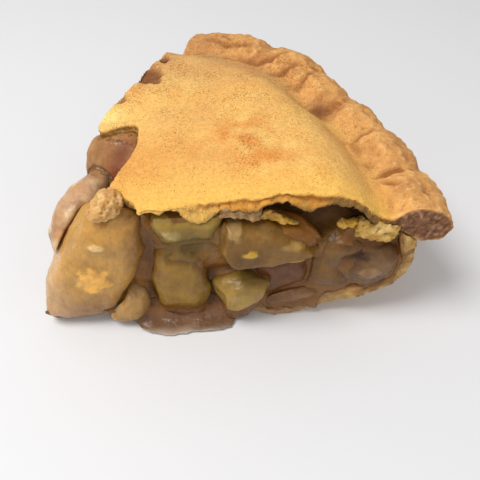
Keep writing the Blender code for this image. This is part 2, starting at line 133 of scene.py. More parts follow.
# Crumbs and veins on the apple at the front, and two sunk hollows (at 71.5 and 96 mm along) coloured dark as
# painted
# shade: mm along the cut, height, half sizes, how far they stand out, colour
DABS = (
    (17.5, 21.5, 4.6, 5.0, 0.55, "f2b85a"),
    (20.9, 35.4, 2.3, 1.2, 0.50, "e6c486"),
    (42.0, 38.0, 2.6, 1.8, 0.25, "b09a60"),
    (48.5, 34.0, 3.6, 1.1, 0.20, "a88e50"),
    (63.7, 33.5, 2.1, 1.4, 0.60, "dcae38"),
    (71.5, 25.0, 4.6, 2.4, -1.50, "52321c"),
    (78.0, 29.0, 3.4, 0.9, 0.60, "b8945e"),
    (59.5, 41.0, 1.8, 2.6, 0.40, "a88a58"),
    (77.5, 35.5, 4.6, 1.4, 0.50, "b08e4c"),
    (91.4, 38.2, 3.2, 1.2, 0.50, "c89838"),
    (96.0, 26.6, 3.6, 1.5, -1.20, "462a14"),
    (99.8, 21.3, 3.6, 2.4, 0.45, "98764e"),
)

# Apple pieces: flesh, second colour, stain, how far the face stands out and how soft its edge is, in mm
APPLES = {
    "apple_tip": ("c2944e", "b88a48", 0.4, 0.7, 3.5),
    "apple_tip_foot": ("b08a54", "9a7646", 0.2, 1.4, 2.0),
    "apple_tip_side": ("cca886", "ae8056", 0.4, 0.5, 4.0),
    "apple_side_bulge": ("be8e58", "a0724a", 0.3, 0.6, 4.0),
    "apple_green_top": ("aa8c40", "8c6e2c", 0.6, 0.6, 3.5),
    "apple_green_egg": ("96742a", "866226", 0.9, 0.9, 4.5),
    "apple_centre": ("86622a", "6a4816", 0.5, 1.9, 1.6),
    "apple_brown": ("744a29", "643c22", 1.2, 0.2, 4.0),
    "apple_wedge": ("a88842", "8a6e36", 0.2, 1.8, 1.4),
    "apple_right": ("84622e", "6e4a24", 1.4, 0.3, 4.0),
    "apple_right_low": ("80603a", "5e4228", 1.2, 0.4, 3.0),
    "apple_right_foot": ("8a6644", "765434", 1.4, 0.2, 3.0),
    "apple_back_low": ("a88044", "8c6434", 0.8, 0.8, 3.0),
    "apple_back_mid": ("b48e54", "94703c", 0.8, 1.0, 3.0),
    "apple_back_foot": ("96703c", "7e582c", 0.9, 0.7, 3.0),
    "apple_back_rim": ("9e7844", "845f36", 0.9, 0.8, 3.0),
    "apple_back_wall": ("8e6840", "74502e", 1.0, 0.5, 3.0),
}

# Bits of broken crust: colour, and how steeply each slopes down behind
CRUST_BITS = {
    "crust_lump": ("d6a66a", 0.0),
    "crust_bit_centre": ("c99a3c", 0.75),
    "crust_bit_right": ("c29c50", 0.65),
}

# Loose flakes: mm along the cut, into it and up, half sizes in mm, turn in degrees, colour
FLAKES = (
    ("lid_slab", (61.0, 1.6, 45.7), (5.6, 2.4, 1.7), 6, "a8845a"),
    ("small_flake", (91.0, 1.2, 39.6), (2.6, 1.4, 0.7), -8, "c09438"),
)

# A brown streak on the round apple behind the tip: place, direction and half sizes
BULGE_STREAK = ((-0.0354, -0.0066), (0.69, 0.72), (0.0070, 0.0024))

# Scattered grains: size, and how many to a square metre where their mask is one
SPECK_SIZE = 0.00014
SPECKS = 1100000
CRUMB_SIZE = 0.00036
LID_CRUMBS = 380000
BOTTOM_CRUMBS = 300000

# The camera of the main view: place, heading and downward tilt in degrees, lens in mm
CAMERA_PLACE = (-0.0038, -0.1510, 0.1565)
CAMERA_HEADING = 2.3
CAMERA_TILT = 46
CAMERA_LENS = 45


def hue(code):
    """A six-figure colour code as linear light."""
    parts = [int(code[place : place + 2], 16) / 255 for place in (0, 2, 4)]
    return np.array([p / 12.92 if p <= 0.04045 else ((p + 0.055) / 1.055) ** 2.4 for p in parts])


def smooth(low, high, value):
    """Nought up to one end, one from the other, and a soft step between."""
    share = np.clip((value - low) / (high - low), 0, 1)
    return share * share * (3 - 2 * share)


def bell(value, width):
    """One at nought, fading away on both sides over about this width."""
    return np.exp(-((value / width) ** 2))


def ripple(points, size, seed):
    """Smooth noise from about -1 to 1 that varies over lengths of about size, the same on each run."""
    place = points / size + seed * np.array((0.371, 1.713, 2.917))
    cell = np.floor(place)
    part = place - cell
    fade = part**3 * (part * (part * 6 - 15) + 10)
    total = np.zeros(len(points))
    for corner in itertools.product((0, 1), repeat=3):
        key = (cell + corner).astype(np.int64)
        code = (key[:, 0] * 73856093) ^ (key[:, 1] * 19349663) ^ (key[:, 2] * 83492791)
        code = ((code ^ (code >> 13)) * 1274126177) & 0x7FFFFFFF
        code = ((code ^ (code >> 15)) * 2246822519) & 0x7FFFFFFF
        slope = np.stack([((code >> shift) & 1023) / 511.5 - 1 for shift in (0, 10, 20)], axis=1)
        weight = np.prod(np.where(corner, fade, 1 - fade), axis=1)
        total += weight * np.sum(slope * (part - corner), axis=1)
    return total * 1.6


def relief(points, *waves):
    """Ripples added up, given the height, length and seed of each."""
    return sum(height * ripple(points, size, seed) for height, size, seed in waves)


def polar(points):
    """How far the points are from the tip and in which direction, seen from above."""
    across = points - APEX
    return np.hypot(across[:, 0], across[:, 1]), np.arctan2(across[:, 1], across[:, 0])


def from_tip(middle):
    """How far one place is from the tip, seen from above."""
    return polar(np.array([middle]))[0][0]


def along_cut(points, cut):
    return (points - APEX) @ CUTS[cut][0]


def depth_from(points, cut):
    """How far the points are behind a cut, or in front of it below nought."""
    return (points - APEX) @ CUTS[cut][1]


def arrays(mesh):
    """The points of a mesh and the directions in which they face."""
    points = np.empty(len(mesh.vertices) * 3)
    normals = np.empty(len(mesh.vertices) * 3)
    mesh.vertices.foreach_get("co", points)
    mesh.vertex_normals.foreach_get("vector", normals)
    return points.reshape(-1, 3), normals.reshape(-1, 3)


def place_points(mesh, points):
    mesh.vertices.foreach_set("co", points.ravel())
    mesh.update()


def eased(mesh, values, rounds):
    """Values at the points of a mesh, averaged with their neighbours a number of times."""
    edges = np.empty(len(mesh.edges) * 2, dtype=np.int64)
    mesh.edges.foreach_get("vertices", edges)
    first, second = edges.reshape(-1, 2).T
    count = np.bincount(edges, minlength=len(mesh.vertices)) + 1
    values = values.reshape(len(values), -1).copy()
    for _ in range(rounds):
        for axis in range(values.shape[1]):
            column = values[:, axis]
            total = column.copy()
            total += np.bincount(first, weights=column[second], minlength=len(column))
            total += np.bincount(second, weights=column[first], minlength=len(column))
            values[:, axis] = total / count
    return values


def standing_out(mesh, rounds):
    """How far each point stands proud of the skin around it, or below nought in a crevice."""
    points, normals = arrays(mesh)
    return np.sum((points - eased(mesh, points, rounds)) * normals, axis=1)


def mark(mesh, name, values):
    layer = mesh.attributes.new(name, "FLOAT", "POINT")
    layer.data.foreach_set("value", np.clip(values, 0, 1))


def paint(mesh, colours):
    """Stores a colour at each point, which the finishes read as their own tone."""
    layer = mesh.attributes.new("tone", "FLOAT_COLOR", "POINT")
    full = np.ones((len(colours), 4))
    full[:, :3] = np.clip(colours, 0, 1)
    layer.data.foreach_set("color", full.ravel())


def plain(points, code):
    return np.tile(hue(code), (len(points), 1))


def coat(colours, code, share):
    """Colours mixed towards one colour by a share at each point."""
    return colours + (hue(code) - colours) * np.clip(share, 0, 1)[:, None]


def coats(colours, *layers):
    """Colours mixed towards one colour after another, each by its own share."""
    for code, share in layers:
        colours = coat(colours, code, share)
    return colours


def surface_of(node, wanted):
    """A search tree of those faces of a solid that are wanted, judged by their middles and directions."""
    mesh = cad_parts[node].data
    points = [vertex.co.copy() for vertex in mesh.vertices]
    faces = [tuple(face.vertices) for face in mesh.polygons if wanted(face.center, face.normal)]
    return BVHTree.FromPolygons(points, faces)


def distances(tree, points):
    return np.array([tree.find_nearest(point)[3] for point in points.tolist()])


def near_place(points, middle, half):
    """One at a place on the front cut, given with its half sizes in mm, and fading to nought round it."""
    along = along_cut(points, "front") * 1000 - middle[0]
    height = points[:, 2] * 1000 - middle[1]
    deep = np.maximum(depth_from(points, "front") - 0.003, 0)
    return bell(np.hypot(along / half[0], height / half[1]), 1.0) * bell(deep, 0.012)


def smoothed(mesh, share, rounds):
    """Draws the points of a mesh to the even skin round them, by a share at each."""
    points, _ = arrays(mesh)
    place_points(mesh, points + (eased(mesh, points, rounds) - points) * share[:, None])


def joined_copy(name, nodes):
    """One object with merged copies of these solids."""
    shape = bmesh.new()
    for node in nodes:
        shape.from_mesh(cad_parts[node].data)
    bmesh.ops.remove_doubles(shape, verts=shape.verts, dist=0.00001)
    mesh = bpy.data.meshes.new(name)
    shape.to_mesh(mesh)
    shape.free()
    obj = bpy.data.objects.new(name, mesh)
    bpy.context.scene.collection.objects.link(obj)
    return obj


def settle(obj):
    """Turns an object's modifiers into its mesh."""
    bpy.context.view_layer.update()
    graph = bpy.context.evaluated_depsgraph_get()
    mesh = bpy.data.meshes.new_from_object(obj.evaluated_get(graph))
    obj.modifiers.clear()
    obj.data = mesh
    mesh.name = obj.name


def even_skin(obj, grid, softening):
    """Gives an object an even, closed skin of small faces with its edges softened."""
    remesh = obj.modifiers.new("Skin", "REMESH")
    remesh.mode = "VOXEL"
    remesh.voxel_size = grid
    soften = obj.modifiers.new("Soften", "SMOOTH")
    soften.iterations = softening
    settle(obj)


def keep_largest(mesh):
    """Drops all but the largest closed skin."""
    shape = bmesh.new()
    shape.from_mesh(mesh)
    left = set(shape.verts)
    islands = []
    while left:
        todo = [left.pop()]
        island = list(todo)
        while todo:
            joined = {edge.other_vert(v) for v in (todo.pop(),) for edge in v.link_edges} & left
            left -= joined
            island.extend(joined)
            todo.extend(joined)
        islands.append(island)
    islands.sort(key=len)
    bmesh.ops.delete(shape, geom=[v for island in islands[:-1] for v in island], context="VERTS")
    shape.to_mesh(mesh)
    shape.free()


def place_piece(obj, material, slot, *nodes):
    """Finishes a piece: its material, the body that it rides on, and the solids that it stands for."""
    obj.data.materials.clear()
    obj.data.materials.append(material)
    obj.data.shade_smooth()
    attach(obj, "root")
    if nodes:
        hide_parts(*nodes)


# Finishes


def finish(name, roughness, scatter, scatter_scale, coat_weight=0.0, coat_roughness=0.2):
    """A new material whose shader has these constant values, with its tree, shader and object place."""
    material = bpy.data.materials.new(name)
    material.use_nodes = True
    tree = material.node_tree
    shader = tree.nodes["Principled BSDF"]
    constants = {
        "Roughness": roughness,
        "Subsurface Weight": scatter,
        "Subsurface Scale": scatter_scale,
        "Subsurface Radius": (1.0, 0.55, 0.28),
        "Coat Weight": coat_weight,
        "Coat Roughness": coat_roughness,
        "Specular IOR Level": 0.20,
    }
    for label, value in constants.items():
        shader.inputs[label].default_value = value
    place = tree.nodes.new("ShaderNodeTexCoord").outputs["Object"]
    return material, tree, shader, place


def noise_of(tree, place, size, detail=3.0, stretch=None):
    """Noise over lengths of about size, stretched along the axes if asked."""
    if stretch:
        mapping = tree.nodes.new("ShaderNodeMapping")
        mapping.inputs["Scale"].default_value = stretch
        tree.links.new(place, mapping.inputs["Vector"])
        place = mapping.outputs["Vector"]
    node = tree.nodes.new("ShaderNodeTexNoise")
    node.inputs["Scale"].default_value = 1 / size
    node.inputs["Detail"].default_value = detail
    tree.links.new(place, node.inputs["Vector"])
    return node.outputs["Fac"]


def ranged(tree, value, *ends):
    """A value taken from one range to another and kept inside it."""
    node = tree.nodes.new("ShaderNodeMapRange")
    for label, end in zip(("From Min", "From Max", "To Min", "To Max"), ends):
        node.inputs[label].default_value = end
    tree.links.new(value, node.inputs["Value"])
    return node.outputs["Result"]


def times(tree, first, second):
    node = tree.nodes.new("ShaderNodeMath")
    node.operation = "MULTIPLY"
    tree.links.new(first, node.inputs[0])
    tree.links.new(second, node.inputs[1])
    return node.outputs["Value"]


def own(tree, name, colour=False):
    """A value or colour stored at the points of the mesh."""
    node = tree.nodes.new("ShaderNodeAttribute")
    node.attribute_name = name
    return node.outputs["Color" if colour else "Fac"]


def tinted(tree, base, code, share):
    """A colour mixed towards another by a share that varies."""
    node = tree.nodes.new("ShaderNodeMix")
    node.data_type = "RGBA"
    node.inputs[7].default_value = (*hue(code), 1)
    tree.links.new(share, node.inputs[0])
    tree.links.new(base, node.inputs[6])
    return node.outputs[2]


def mottled(tree, place, base, size, detail, low, high, stretch=None):
    """A colour made darker and lighter, between two factors, by noise over lengths of about size."""
    factor = ranged(tree, noise_of(tree, place, size, detail, stretch), 0.3, 0.7, low, high)
    node = tree.nodes.new("ShaderNodeVectorMath")
    node.operation = "SCALE"
    tree.links.new(base, node.inputs[0])
    tree.links.new(factor, node.inputs["Scale"])
    return node.outputs["Vector"]


def glossed(tree, place, shader, size, start, low, high):
    """Roughness that varies over lengths of about size."""
    rough = ranged(tree, noise_of(tree, place, size), start, 0.7, low, high)
    tree.links.new(rough, shader.inputs["Roughness"])


def bumped(tree, shader, height, distance, strength, film=False):
    node = tree.nodes.new("ShaderNodeBump")
    node.inputs["Strength"].default_value = strength
    node.inputs["Distance"].default_value = distance
    tree.links.new(height, node.inputs["Height"])
    tree.links.new(node.outputs["Normal"], shader.inputs["Normal"])
    if film:
        tree.links.new(node.outputs["Normal"], shader.inputs["Coat Normal"])


def baked_crust():
    """Dry golden crust with fine flour grain, cinnamon in it and small pale and brown patches."""
    material, tree, shader, place = finish("baked_crust", 0.72, 0.10, 0.0012)
    tone = mottled(tree, place, own(tree, "tone", True), 0.0016, 3, 0.92, 1.07)
    tone = mottled(tree, place, tone, 0.0006, 2, 0.88, 1.11)
    dust = own(tree, "dust")
    haze = ranged(tree, noise_of(tree, place, 0.0011, 5), 0.48, 0.68, 0.0, 0.48)
    tone = tinted(tree, tone, "b9732f", times(tree, haze, dust))
    grain = ranged(tree, noise_of(tree, place, 0.00055, 1), 0.58, 0.68, 0.0, 0.75)
    tone = tinted(tree, tone, "8a5226", times(tree, grain, dust))
    tree.links.new(tone, shader.inputs["Base Color"])
    glossed(tree, place, shader, 0.0009, 0.3, 0.62, 0.86)
    bumped(tree, shader, noise_of(tree, place, 0.0009, 4), 0.00034, 0.9)
    return material


def crumb_crust():
    """Broken crust: dry, open crumb in pale and toasted grains."""
    material, tree, shader, place = finish("crumb_crust", 0.85, 0.12, 0.0010)
    tone = mottled(tree, place, own(tree, "tone", True), 0.0009, 3, 0.78, 1.15)
    tone = tinted(tree, tone, "9a6430", ranged(tree, noise_of(tree, place, 0.0014), 0.58, 0.72, 0, 0.45))
    tree.links.new(tone, shader.inputs["Base Color"])
    bumped(tree, shader, noise_of(tree, place, 0.0006, 4), 0.00030, 0.9)
    return material


def cooked_apple():
    """Moist cooked apple: clouded flesh with faint fibres under a thin wet film."""
    material, tree, shader, place = finish("cooked_apple", 0.42, 0.50, 0.0030, 0.22, 0.12)
    cloudy = mottled(tree, place, own(tree, "tone", True), 0.0042, 4, 0.88, 1.13)
    tone = mottled(tree, place, cloudy, 0.0010, 3, 0.90, 1.12, stretch=(1.0, 1.0, 0.35))
    tree.links.new(tone, shader.inputs["Base Color"])
    glossed(tree, place, shader, 0.0022, 0.35, 0.26, 0.52)
    bumped(tree, shader, noise_of(tree, place, 0.0016, 4), 0.00034, 0.7, True)
    return material


def apple_syrup():
    """Thickened brown syrup: hazy, with cloudy runs and a wet surface."""
    material, tree, shader, place = finish("apple_syrup", 0.40, 0.30, 0.0025, 0.16, 0.14)
    tone = mottled(tree, place, own(tree, "tone", True), 0.0050, 4, 0.82, 1.18)
    tone = mottled(tree, place, tone, 0.0012, 3, 0.93, 1.08)
    tree.links.new(tone, shader.inputs["Base Color"])
    glossed(tree, place, shader, 0.0030, 0.35, 0.20, 0.46)
    bumped(tree, shader, noise_of(tree, place, 0.0022, 3), 0.00050, 0.7, True)
    return material


def ground_cinnamon():
    """Dry brown specks of cinnamon."""
    material, tree, shader, place = finish("ground_cinnamon", 0.9, 0.0, 0.0)
    pair = tree.nodes.new("ShaderNodeMix")
    pair.data_type = "RGBA"
    pair.inputs[6].default_value = (*hue("b87430"), 1)
    pair.inputs[7].default_value = (*hue("6c3c18"), 1)
    tree.links.new(ranged(tree, noise_of(tree, place, 0.0008), 0.35, 0.65, 0, 1), pair.inputs[0])
    tree.links.new(pair.outputs[2], shader.inputs["Base Color"])
    return material


BAKED = baked_crust()
CRUMB = crumb_crust()
APPLE = cooked_apple()
SYRUP = apple_syrup()
CINNAMON = ground_cinnamon()


# Crust


def faces_cut(middle, normal, reach=0.0035):
    """Whether a face lies on one of the two cuts."""
    point = np.array([middle])
    for cut, (_, inward) in CUTS.items():
        if depth_from(point, cut)[0] < reach and -Vector(inward).dot(normal) > 0.7:
            return True
    return False


def faces_tip(middle, normal):
    """Whether a face is on the torn end of the lid, towards the tip."""
    angle = polar(np.array([middle]))[1][0]
    towards = Vector((-math.cos(angle), -math.sin(angle), 0))
    return from_tip(middle) < 0.050 and towards.dot(normal) > 0.6


def fold_depth(points):
    """How deep the folds of the rim are pressed in at each point, and how near it is to one."""
    depth = np.zeros(len(points))
    near = np.zeros(len(points))
    bend = 0.0006 * ripple(points, 0.004, 61)
    flat = points[:, :2] - APEX[:2]

    def seen_from_above(radius, degrees):
        turned = math.radians(degrees)
        return radius * 0.001 * np.array((math.cos(turned), math.sin(turned)))

    for first, last, width, press in RIM_FOLDS:
        start = seen_from_above(*first)
        run = seen_from_above(*last) - start
        share = np.clip(((flat - start) @ run) / (run @ run), 0, 1)
        away = np.hypot(*(flat - start - share[:, None] * run).T) + bend * (share > 0) * (share < 1)
        close = bell(away, width * 0.001) * (1 - 0.5 * np.abs(2 * share - 1) ** 3)
        depth += press * 0.001 * close
        near = np.maximum(near, bell(away, width * 0.0016))
    return depth, near


def cut_edges(points, steps):
    """The lowest and highest points of the front cut at each of these distances along it."""
    along = along_cut(points, "front")
    at_cut = depth_from(points, "front") < 0.0006
    low, high = [], []
    for step in steps:
        heights = points[at_cut & (np.abs(along - step) < 0.0008), 2]
        low.append(heights.min() if len(heights) else np.nan)
        high.append(heights.max() if len(heights) else np.nan)
    found = ~np.isnan(low)
    return [np.interp(along, steps[found], np.array(side)[found]) for side in (low, high)]


def break_away(points):
    """How much of the lid is broken away at its back cut, from nought to one at each point."""
    radius, _ = polar(points)
    back = depth_from(points, "back")
    away = np.zeros(len(points))
    ragged = relief(points, (0.0009, 0.0022, 16), (0.0005, 0.0010, 17))
    for distance, depth, size, share in LID_BREAKS:
        reach = np.hypot(radius - distance * 0.001, back - depth * 0.001) + ragged
        away = np.maximum(away, share * (1 - smooth(0.6, 1.25, reach / (size * 0.001))))
    return away


def make_lid():
    """The lid and rim: smooth baked skin on top, flaky crumb at the cuts and hanging flakes below them."""
    obj = joined_copy("pie_lid", ["top_crust"])
    even_skin(obj, LID_GRID, 2)
    mesh = obj.data
    points, _ = arrays(mesh)

    def under(middle, normal):
        return normal.z < -0.25 and from_tip(middle) < 0.104

    def broken(middle, normal):
        steep = abs(normal.z) < 0.4 and from_tip(middle) < 0.075
        return steep or faces_cut(middle, normal) or faces_tip(middle, normal)

    def baked(middle, normal):
        return not broken(middle, normal) and not under(middle, normal)

    trees = [surface_of("top_crust", test) for test in (baked, under, broken)]
    to_skin, to_under, to_cut = [distances(tree, points) for tree in trees]
    radius, _ = polar(points)
    lid_only = 1 - smooth(0.096, 0.101, radius)
    smoothed(mesh, smooth(0.0006, 0.0040, to_cut) * (0.15 + 0.85 * lid_only), 90)
    points, normals = arrays(mesh)
    radius, angle = polar(points)
    front, back = depth_from(points, "front"), depth_from(points, "back")
    along = along_cut(points, "front")
    wander = 0.0004 * ripple(points, 0.0016, 3)
    skin = 1 - smooth(0.0004, 0.0010, to_skin + wander)
    below = (1 - smooth(0.0004, 0.0012, to_under + wander)) * (1 - skin)
    crumb = np.clip(1 - skin - below, 0, 1)
    rim = smooth(CREASE_RADIUS - 0.002, CREASE_RADIUS + 0.004, radius)
    upward = smooth(0.1, 0.6, normals[:, 2])
    at_front = bell(np.maximum(front, 0), 0.0035)

    # Soft waves and grain on the baked skin
    press, near_fold = fold_depth(points)
    lift = relief(points, (0.00030, 0.013, 1), (0.00014, 0.0050, 2), (0.00005, 0.0015, 4))
    rough_rim = relief(points, (0.00060, 0.0065, 5), (0.00050, 0.0030, 6), (0.00024, 0.0014, 7))
    lift = skin * (lift * (1 - rim) + rough_rim * rim) - press * skin * upward

    # Layers and grains in the broken crust
    layered = points * np.array((0.5, 0.5, 1.3))
    grains = 0.00045 * ripple(layered, 0.0019, 8) + 0.00042 * ripple(points, 0.0011, 9)
    lift += crumb * grains + below * 0.00025 * ripple(points, 0.0024, 10)
    moved = points + normals * lift[:, None]

    # The hem at the front hangs in ragged flaps, and its lower layers stand out as a ledge
    line = points * np.array((1, 0, 0))
    steps = np.arange(0.022, 0.104, 0.001)
    low, high = cut_edges(points, steps)
    hem = np.array(LID_HEM) * 0.001
    share = np.clip((high - points[:, 2]) / np.maximum(high - low, 0.001), 0, 1.3)
    rag = relief(line, (0.0006, 0.0034, 13), (0.0008, 0.0013, 14))
    rag *= 1 - 0.7 * bell(along - 0.0490, 0.0050)
    near_hem = bell(np.maximum(front - 0.0012, 0), 0.0022) * smooth(0.024, 0.030, along)
    near_hem *= 1 - smooth(0.092, 0.098, along)
    pull = np.clip(np.interp(along, hem[:, 0], hem[:, 1]) + rag - low - 0.0006, -0.0062, 0.0028)
    moved[:, 2] += pull * near_hem * np.minimum(share, 1) ** 1.3
    ledge = at_front * lid_only * smooth(0.35, 0.8, share) * smooth(0.044, 0.050, along)
    ledge *= 0.55 + 0.7 * ripple(line, 0.0055, 12)
    moved -= INTO_FRONT * (0.0016 * ledge)[:, None]
    edge_rag = relief(line, (0.0009, 0.0048, 15), (0.0005, 0.0017, 18))
    edge_rag = edge_rag * bell(front, 0.0025) * lid_only * (1 - 0.6 * np.clip(share, 0, 1))
    moved -= INTO_FRONT * edge_rag[:, None]
    away = break_away(points) * skin * (1 - rim)
    moved[:, 2] -= 0.0016 * away
    place_points(mesh, moved)

    # Colours of the baked skin, with painted shade in the rim's crevices, crease, folds and pit and a painted
    # highlight on its crests
    proud = standing_out(mesh, 10)
    crest_highlight = smooth(0.00002, 0.00030, proud)
    crevice_shade = smooth(0.00004, 0.00030, -proud)
    toast = np.zeros(len(points))
    for place, depth, size, strength in TOASTED:
        middle = np.hypot(along - place * 0.001, front - depth * 0.001)
        toast = np.maximum(toast, strength * bell(middle, size * 0.001))
    toast *= smooth(-0.6, 0.3, ripple(points, 0.0055, 32))
    crease_shade = bell(radius - CREASE_RADIUS, 0.0016) * smooth(-0.1, 0.5, ripple(points, 0.0060, 44))
    pit_radius, pit_angle, pit_size = RIM_PIT_SHADE
    sideways = (angle - math.radians(pit_angle)) * pit_radius * 0.001
    pit_shade = np.hypot(sideways, radius - pit_radius * 0.001)
    worn = smooth(0.0, 0.4, ripple(points, 0.004, 35))
    tone = coats(
        plain(points, "efc272"),
        ("e9b064", 0.30 + 1.0 * ripple(points, 0.020, 31)),
        ("dc9a4e", 0.8 * bell(along - 0.032, 0.020) * bell(front - 0.014, 0.014)),
        ("e2a058", 0.7 * ripple(points, 0.0085, 43)),
        ("dd8f45", toast),
        ("cc9c68", 0.75 * smooth(0.045, 0.080, front) + 0.3 * ripple(points, 0.010, 33)),
        ("f2bf5c", 0.7 * bell(np.maximum(front, 0), 0.010) * (1 - rim)),
        ("dca462", 0.92 * rim),
        ("bc8450", rim * (0.35 + 0.9 * ripple(points, 0.0065, 34))),
        # painted highlight on the rim's crests
        ("e8b878", 0.7 * rim * crest_highlight),
        # painted shade in the rim's crevices, along its crease and in its folds
        ("9a6236", rim * crevice_shade * 0.8),
        ("9c6636", crease_shade * upward * 0.7),
        ("8c562c", near_fold * upward * rim * 0.60),
        ("9a6434", rim * (1 - upward) * 0.55),
        # painted shade of the pit in the rim's crease
        ("74462c", 0.9 * bell(pit_shade, pit_size * 0.001)),
        ("c98f55", 0.8 * bell(back, 0.004) * (1 - rim) * worn),
        ("b98a5e", 0.6 * rim * bell(back, 0.010)),
        ("f3e08c", 0.8 * bell(np.hypot(radius - 0.0475, back - 0.002), 0.0045)),
        ("8c5c3a", away * 1.2),
        ("5c3824", smooth(0.9, 1.2, away)),
    )

    # Colours of the broken crust, from under the skin down to the hem, with painted shade in its crevices
    share = np.clip(share, 0, 1)
    patchy = 0.8 + 0.7 * ripple(points, 0.0024, 42) + 0.5 * bell(along - 0.0490, 0.0050)
    stretch = smooth(0.053, 0.058, along) * (1 - smooth(0.082, 0.088, along))
    under_skin = smooth(0.42, 0.22, share + 0.12 * ripple(line, 0.0040, 45)) * smooth(0.047, 0.053, along)
    end = smooth(CREASE_RADIUS - 0.001, CREASE_RADIUS + 0.003, radius)
    inner = coats(
        plain(points, "b48646"),
        ("d0a660", 0.4 + 1.1 * ripple(layered, 0.0022, 36)),
        ("925a24", smooth(0.0, 0.5, ripple(layered, 0.0030, 37)) * 0.6),
        ("e4b45e", at_front * (1 - smooth(0.052, 0.058, along)) * patchy),
        ("d8983e", at_front * stretch * patchy),
        ("7c5a30", smooth(0.080, 0.090, along) * at_front * 0.75),
        ("a05c1e", at_front * 0.85 * under_skin),
        ("845c42", end),
        ("553424", end * smooth(-0.1, 0.4, ripple(points, 0.0011, 38)) * 0.8),
        ("b48a68", end * smooth(0.1, 0.5, ripple(points, 0.0012, 39)) * 0.9),
        # painted shade in the crevices of the broken crust
        ("6b4426", crevice_shade * (0.5 - 0.3 * at_front * (1 - end))),
    )
    shadowed = 0.5 + 0.8 * ripple(points, 0.005, 40) + smooth(0.002, 0.006, front)
    lower = coat(plain(points, "8c6a3c"), "4e3820", shadowed)
    paint(mesh, tone * skin[:, None] + inner * crumb[:, None] + lower * below[:, None])

    dust = skin * upward * (0.35 + 0.65 * smooth(-0.35, 0.45, ripple(points, 0.009, 41)))
    dust *= 1 - 0.65 * bell(np.maximum(front, 0), 0.012) - 0.25 * rim
    dust *= 0.50 + 0.50 * smooth(0.02, 0.07, front) + 0.5 * toast
    mark(mesh, "dust", dust)
    mark(mesh, "crumbs", (crumb + 0.3 * below) * (1 - rim))
    place_piece(obj, BAKED, "lid_crust", "top_crust")
    return obj


def make_bottom():
    """The bottom crust: baked outside, ragged pale crumb along its cut edges, sodden where the syrup ran."""
    obj = joined_copy("pie_bottom", ["bottom_crust"])
    even_skin(obj, BOTTOM_GRID, 2)
    mesh = obj.data
    points, normals = arrays(mesh)
    radius, _ = polar(points)
    front = depth_from(points, "front")
    along = along_cut(points, "front")
    to_cut = distances(surface_of("bottom_crust", faces_cut), points)
    edge = 1 - smooth(0.0003, 0.0012, to_cut + 0.0004 * ripple(points, 0.0018, 51))
    wall = smooth(0.004, 0.014, points[:, 2])
    lift = (1 - edge) * relief(points, (0.00025, 0.010, 52), (0.00012, 0.0032, 53)) * wall
    lift += edge * relief(points, (0.0004, 0.0052, 54), (0.0004, 0.0014, 55))
    resting = 1 - smooth(0.0003, 0.0012, points[:, 2])
    moved = points + normals * (lift * (1 - resting))[:, None]
    rag = edge * (1 - resting) * np.clip(ripple(points, 0.0022, 56), -0.2, 1)
    moved += normals * (0.0004 * rag)[:, None]
    at_tip = edge * (1 - smooth(0.030, 0.036, along)) * bell(np.maximum(front, 0), 0.003)
    moved -= INTO_FRONT * (0.0009 * at_tip * (1 - resting))[:, None]
    moved[:, 2] = np.maximum(moved[:, 2], 0.0)
    place_points(mesh, moved)
    crevice_shade = smooth(0.00004, 0.00030, -standing_out(mesh, 8))
    browned = smooth(0.022, 0.036, points[:, 2]) * (0.3 + 0.6 * ripple(points, 0.005, 59))
    tone = coats(
        plain(points, "d8a566"),
        ("c08a4e", 0.5 + 0.9 * ripple(points, 0.012, 57)),
        ("e3c08c", 0.6 * (1 - wall) + 0.3 * ripple(points, 0.006, 58)),
        ("a8703c", browned),
    )

    # The cut edge is brown beside the filling, and sodden from the tip to near the rim, with painted shade in
    # its crevices; at the tip it is painted lighter, as painted light against the shade under the overhanging
    # apple
    beside = ("filling", "apple_right_low", "apple_right_foot", "apple_back_wall", "apple_back_foot")
    trees = [surface_of(node, lambda middle, normal: True) for node in beside]
    to_filling = np.min([distances(tree, points) for tree in trees], axis=0)
    to_filling += 0.0008 * ripple(points, 0.0022, 63) + 0.0030 * (1 - smooth(0.030, 0.045, radius))
    sodden = 1 - smooth(0.078, 0.098, np.maximum(along, along_cut(points, "back")))
    cut_edge = coats(
        plain(points, "b08a54"),
        ("d2b068", 0.15 + 1.2 * ripple(points, 0.0022, 60)),
        ("8a6240", smooth(0.0, 0.5, ripple(points, 0.0030, 62)) * 0.8),
        ("8a6644", 0.85 * (1 - smooth(0.0012, 0.0024, to_filling))),
        ("66462a", 0.8 * (1 - smooth(0.0003, 0.0012, to_filling))),
        ("a2805e", sodden * 0.85),
        # painted shade in the crevices of the sodden edge
        ("6e543c", sodden * crevice_shade * 0.8),
        # painted light: paler at the tip, where the overhanging apple casts shade
        ("bc9a78", at_tip * 0.8),
    )
    paint(mesh, tone * (1 - edge)[:, None] + cut_edge * edge[:, None])
    mark(mesh, "dust", 0.25 * (1 - edge) * wall)
    mark(mesh, "crumbs", edge * smooth(0.006, 0.016, points[:, 2]))
    place_piece(obj, BAKED, "bottom_crust", "bottom_crust")
    return obj


